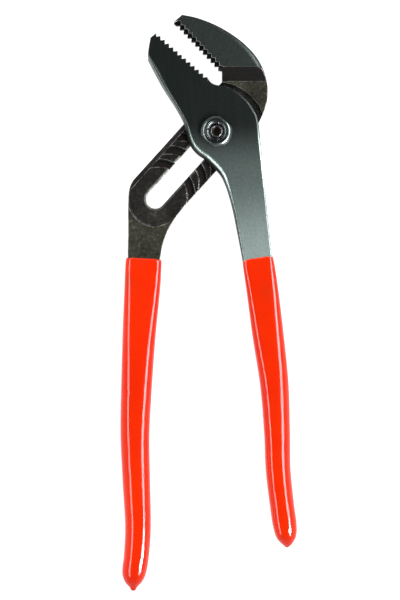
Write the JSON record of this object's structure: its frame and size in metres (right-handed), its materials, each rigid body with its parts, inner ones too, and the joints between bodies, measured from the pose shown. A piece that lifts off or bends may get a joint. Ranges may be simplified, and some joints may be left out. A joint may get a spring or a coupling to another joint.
{
  "type": "tongue and groove pliers",
  "caption": "Slip-joint pliers: slotted half with arc grooves and upper jaw, hub half with tongue and lower jaw, keyed bolt with staked nut, dipped grips.",
  "frame": {"origin": "on the pivot axis, at the flat face of the bolt head", "axes": "+Y along the handles towards the jaws, +X towards the tongue half's handle, +Z from the bolt head towards the nut"},
  "size_m": [0.0938, 0.3057, 0.0212],
  "materials": {
    "forged_dark": "dark oxide forging with rubbed edges",
    "polished_steel": "brushed along the handle, polished edges",
    "bolt_steel": "plain turned steel",
    "nut_steel": "polished with staked inner ring",
    "vinyl_left": "glossy dipped vinyl",
    "vinyl_right": "glossy dipped vinyl"
  },
  "bodies": {
    "groove_half_body": {"groove_half": "forged_dark", "groove_half_grip": "vinyl_left"},
    "pivot": {"pivot_bolt": "bolt_steel", "pivot_nut": "nut_steel"},
    "tongue_half_body": {"tongue_half": "polished_steel", "tongue_half_grip": "vinyl_right"}
  },
  "joints": [
    {"name": "slot_slide", "type": "slide", "parent": "groove_half_body", "child": "pivot", "axis": [-0.6704, -0.742, 0], "range_m": [0, 0.0468]},
    {"name": "jaw_pivot", "type": "hinge", "parent": "pivot", "child": "tongue_half_body", "pos_m": [0, 0, 0.0105], "axis": [0, 0, 1], "range_deg": [-9, 40]}
  ]
}
